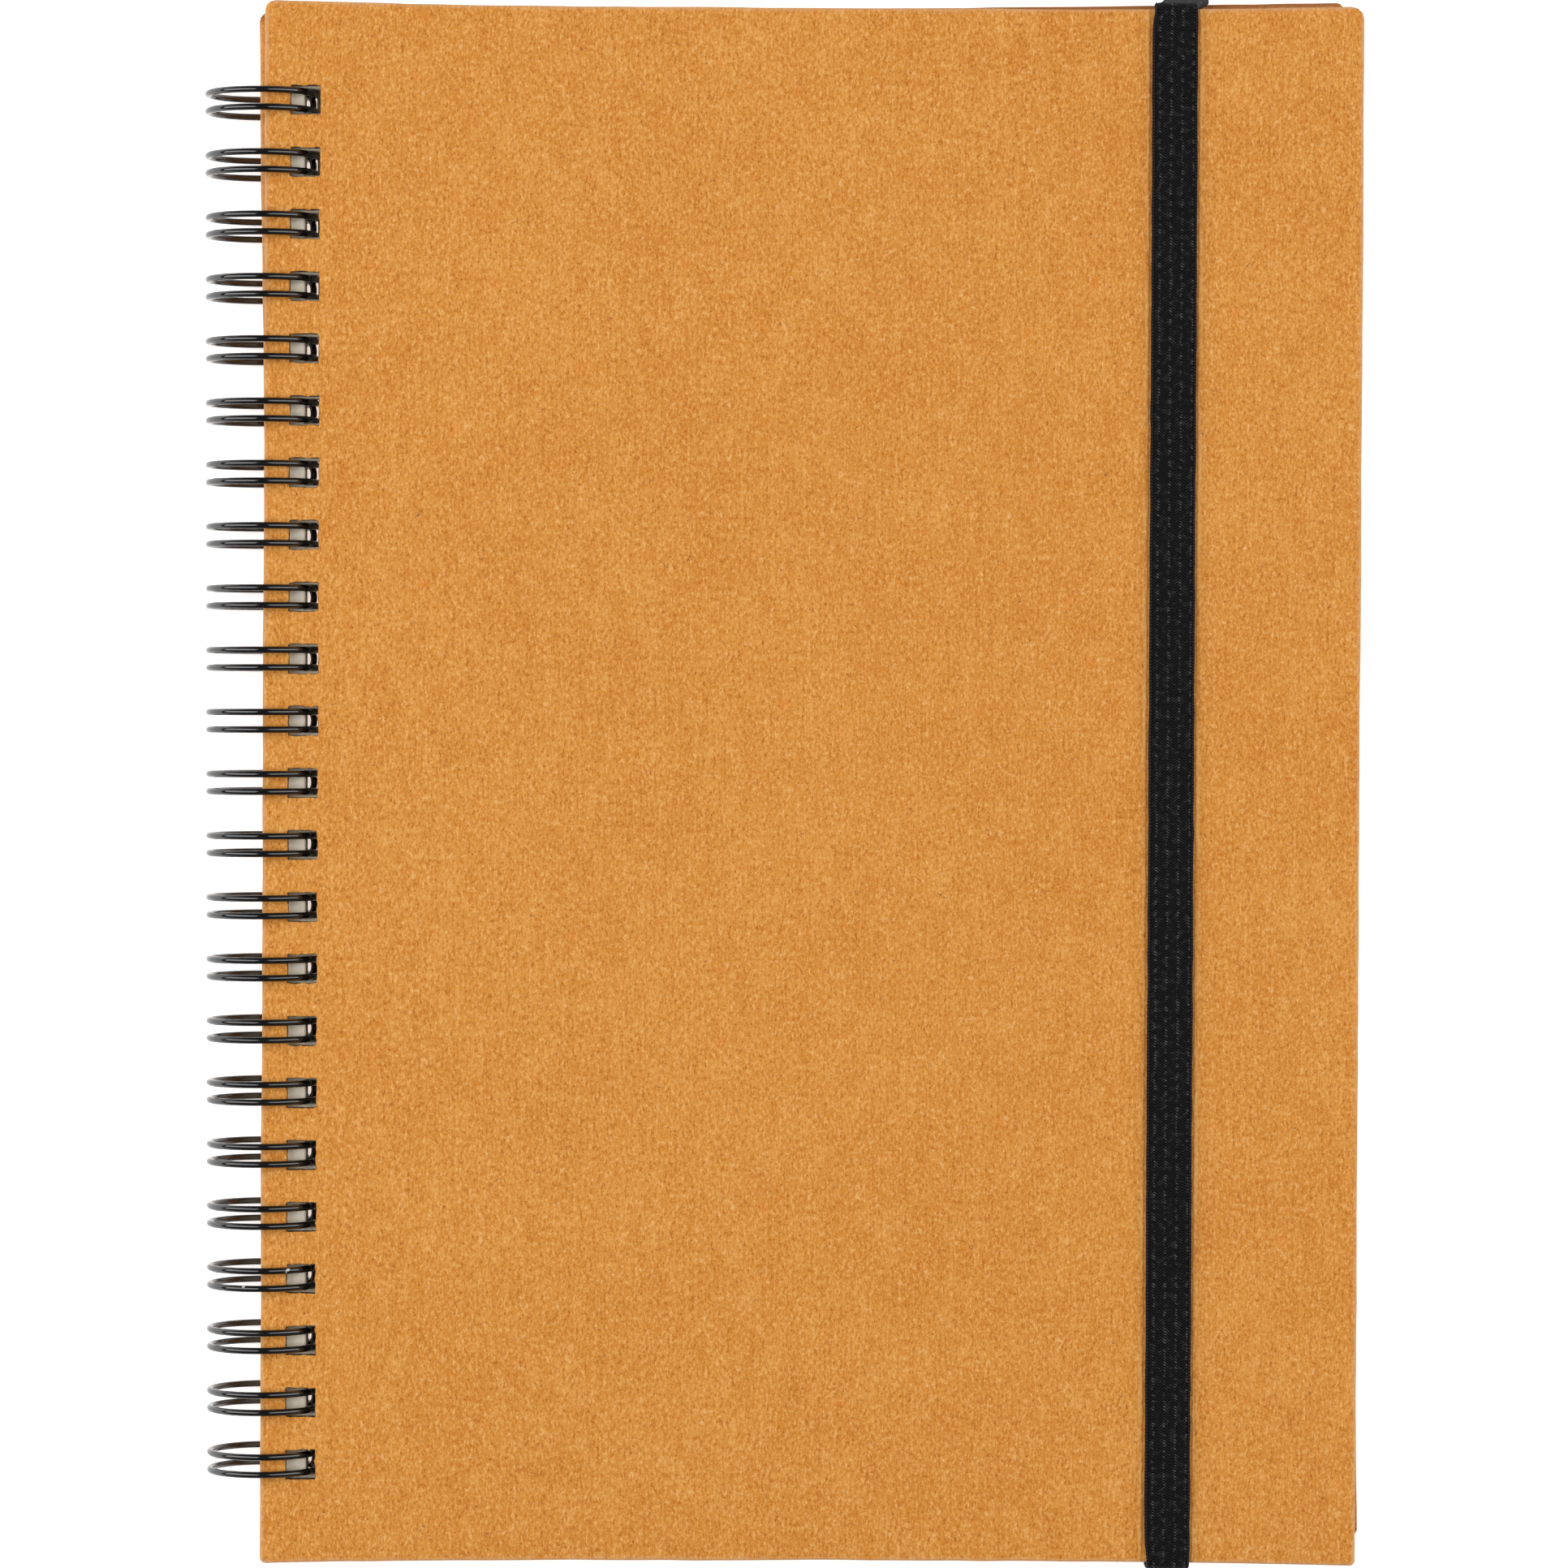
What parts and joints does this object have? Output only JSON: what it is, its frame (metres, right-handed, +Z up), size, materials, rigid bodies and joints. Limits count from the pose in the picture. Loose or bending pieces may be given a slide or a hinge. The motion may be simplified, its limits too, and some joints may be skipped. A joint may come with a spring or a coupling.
{
  "type": "spiral notebook",
  "caption": "Closed wire-bound notebook with wrapped hard covers, a twin-loop wire along the spine side and a flat elastic band round it.",
  "frame": {"origin": "centre of the bounding box, at the level of the surface the closed notebook lies on", "axes": "+Z up out of the front cover, +Y towards the notebook's top edge, the wire on the -X side"},
  "size_m": [0.1586, 0.2152, 0.0156],
  "materials": {
    "cover_board": "matt wrapped paper with short fibres and specks",
    "endpaper": "matt uncoated",
    "pages": "matt uncoated",
    "black_wire": "gloss coating",
    "black_elastic": "woven elastic"
  },
  "bodies": {
    "book": {"page_block": "pages", "wire_binding": "black_wire"},
    "front_cover": {"front_cover": "cover_board", "front_endpaper": "endpaper"},
    "back_cover": {"back_cover": "cover_board", "back_endpaper": "endpaper"},
    "elastic": {"elastic_band": "black_elastic"}
  },
  "joints": [
    {"name": "front_cover_turn", "type": "hinge", "parent": "book", "child": "front_cover", "pos_m": [-0.07151, 0, 0.0078], "axis": [0, -1, 0], "range_deg": [0, 180]},
    {"name": "back_cover_turn", "type": "hinge", "parent": "book", "child": "back_cover", "pos_m": [-0.07151, 0, 0.0078], "axis": [0, 1, 0], "range_deg": [0, 180]},
    {"name": "band_slip", "type": "slide", "parent": "back_cover", "child": "elastic", "axis": [1, 0, 0], "range_m": [0, 0.03], "deforming": ["elastic_band"]}
  ]
}
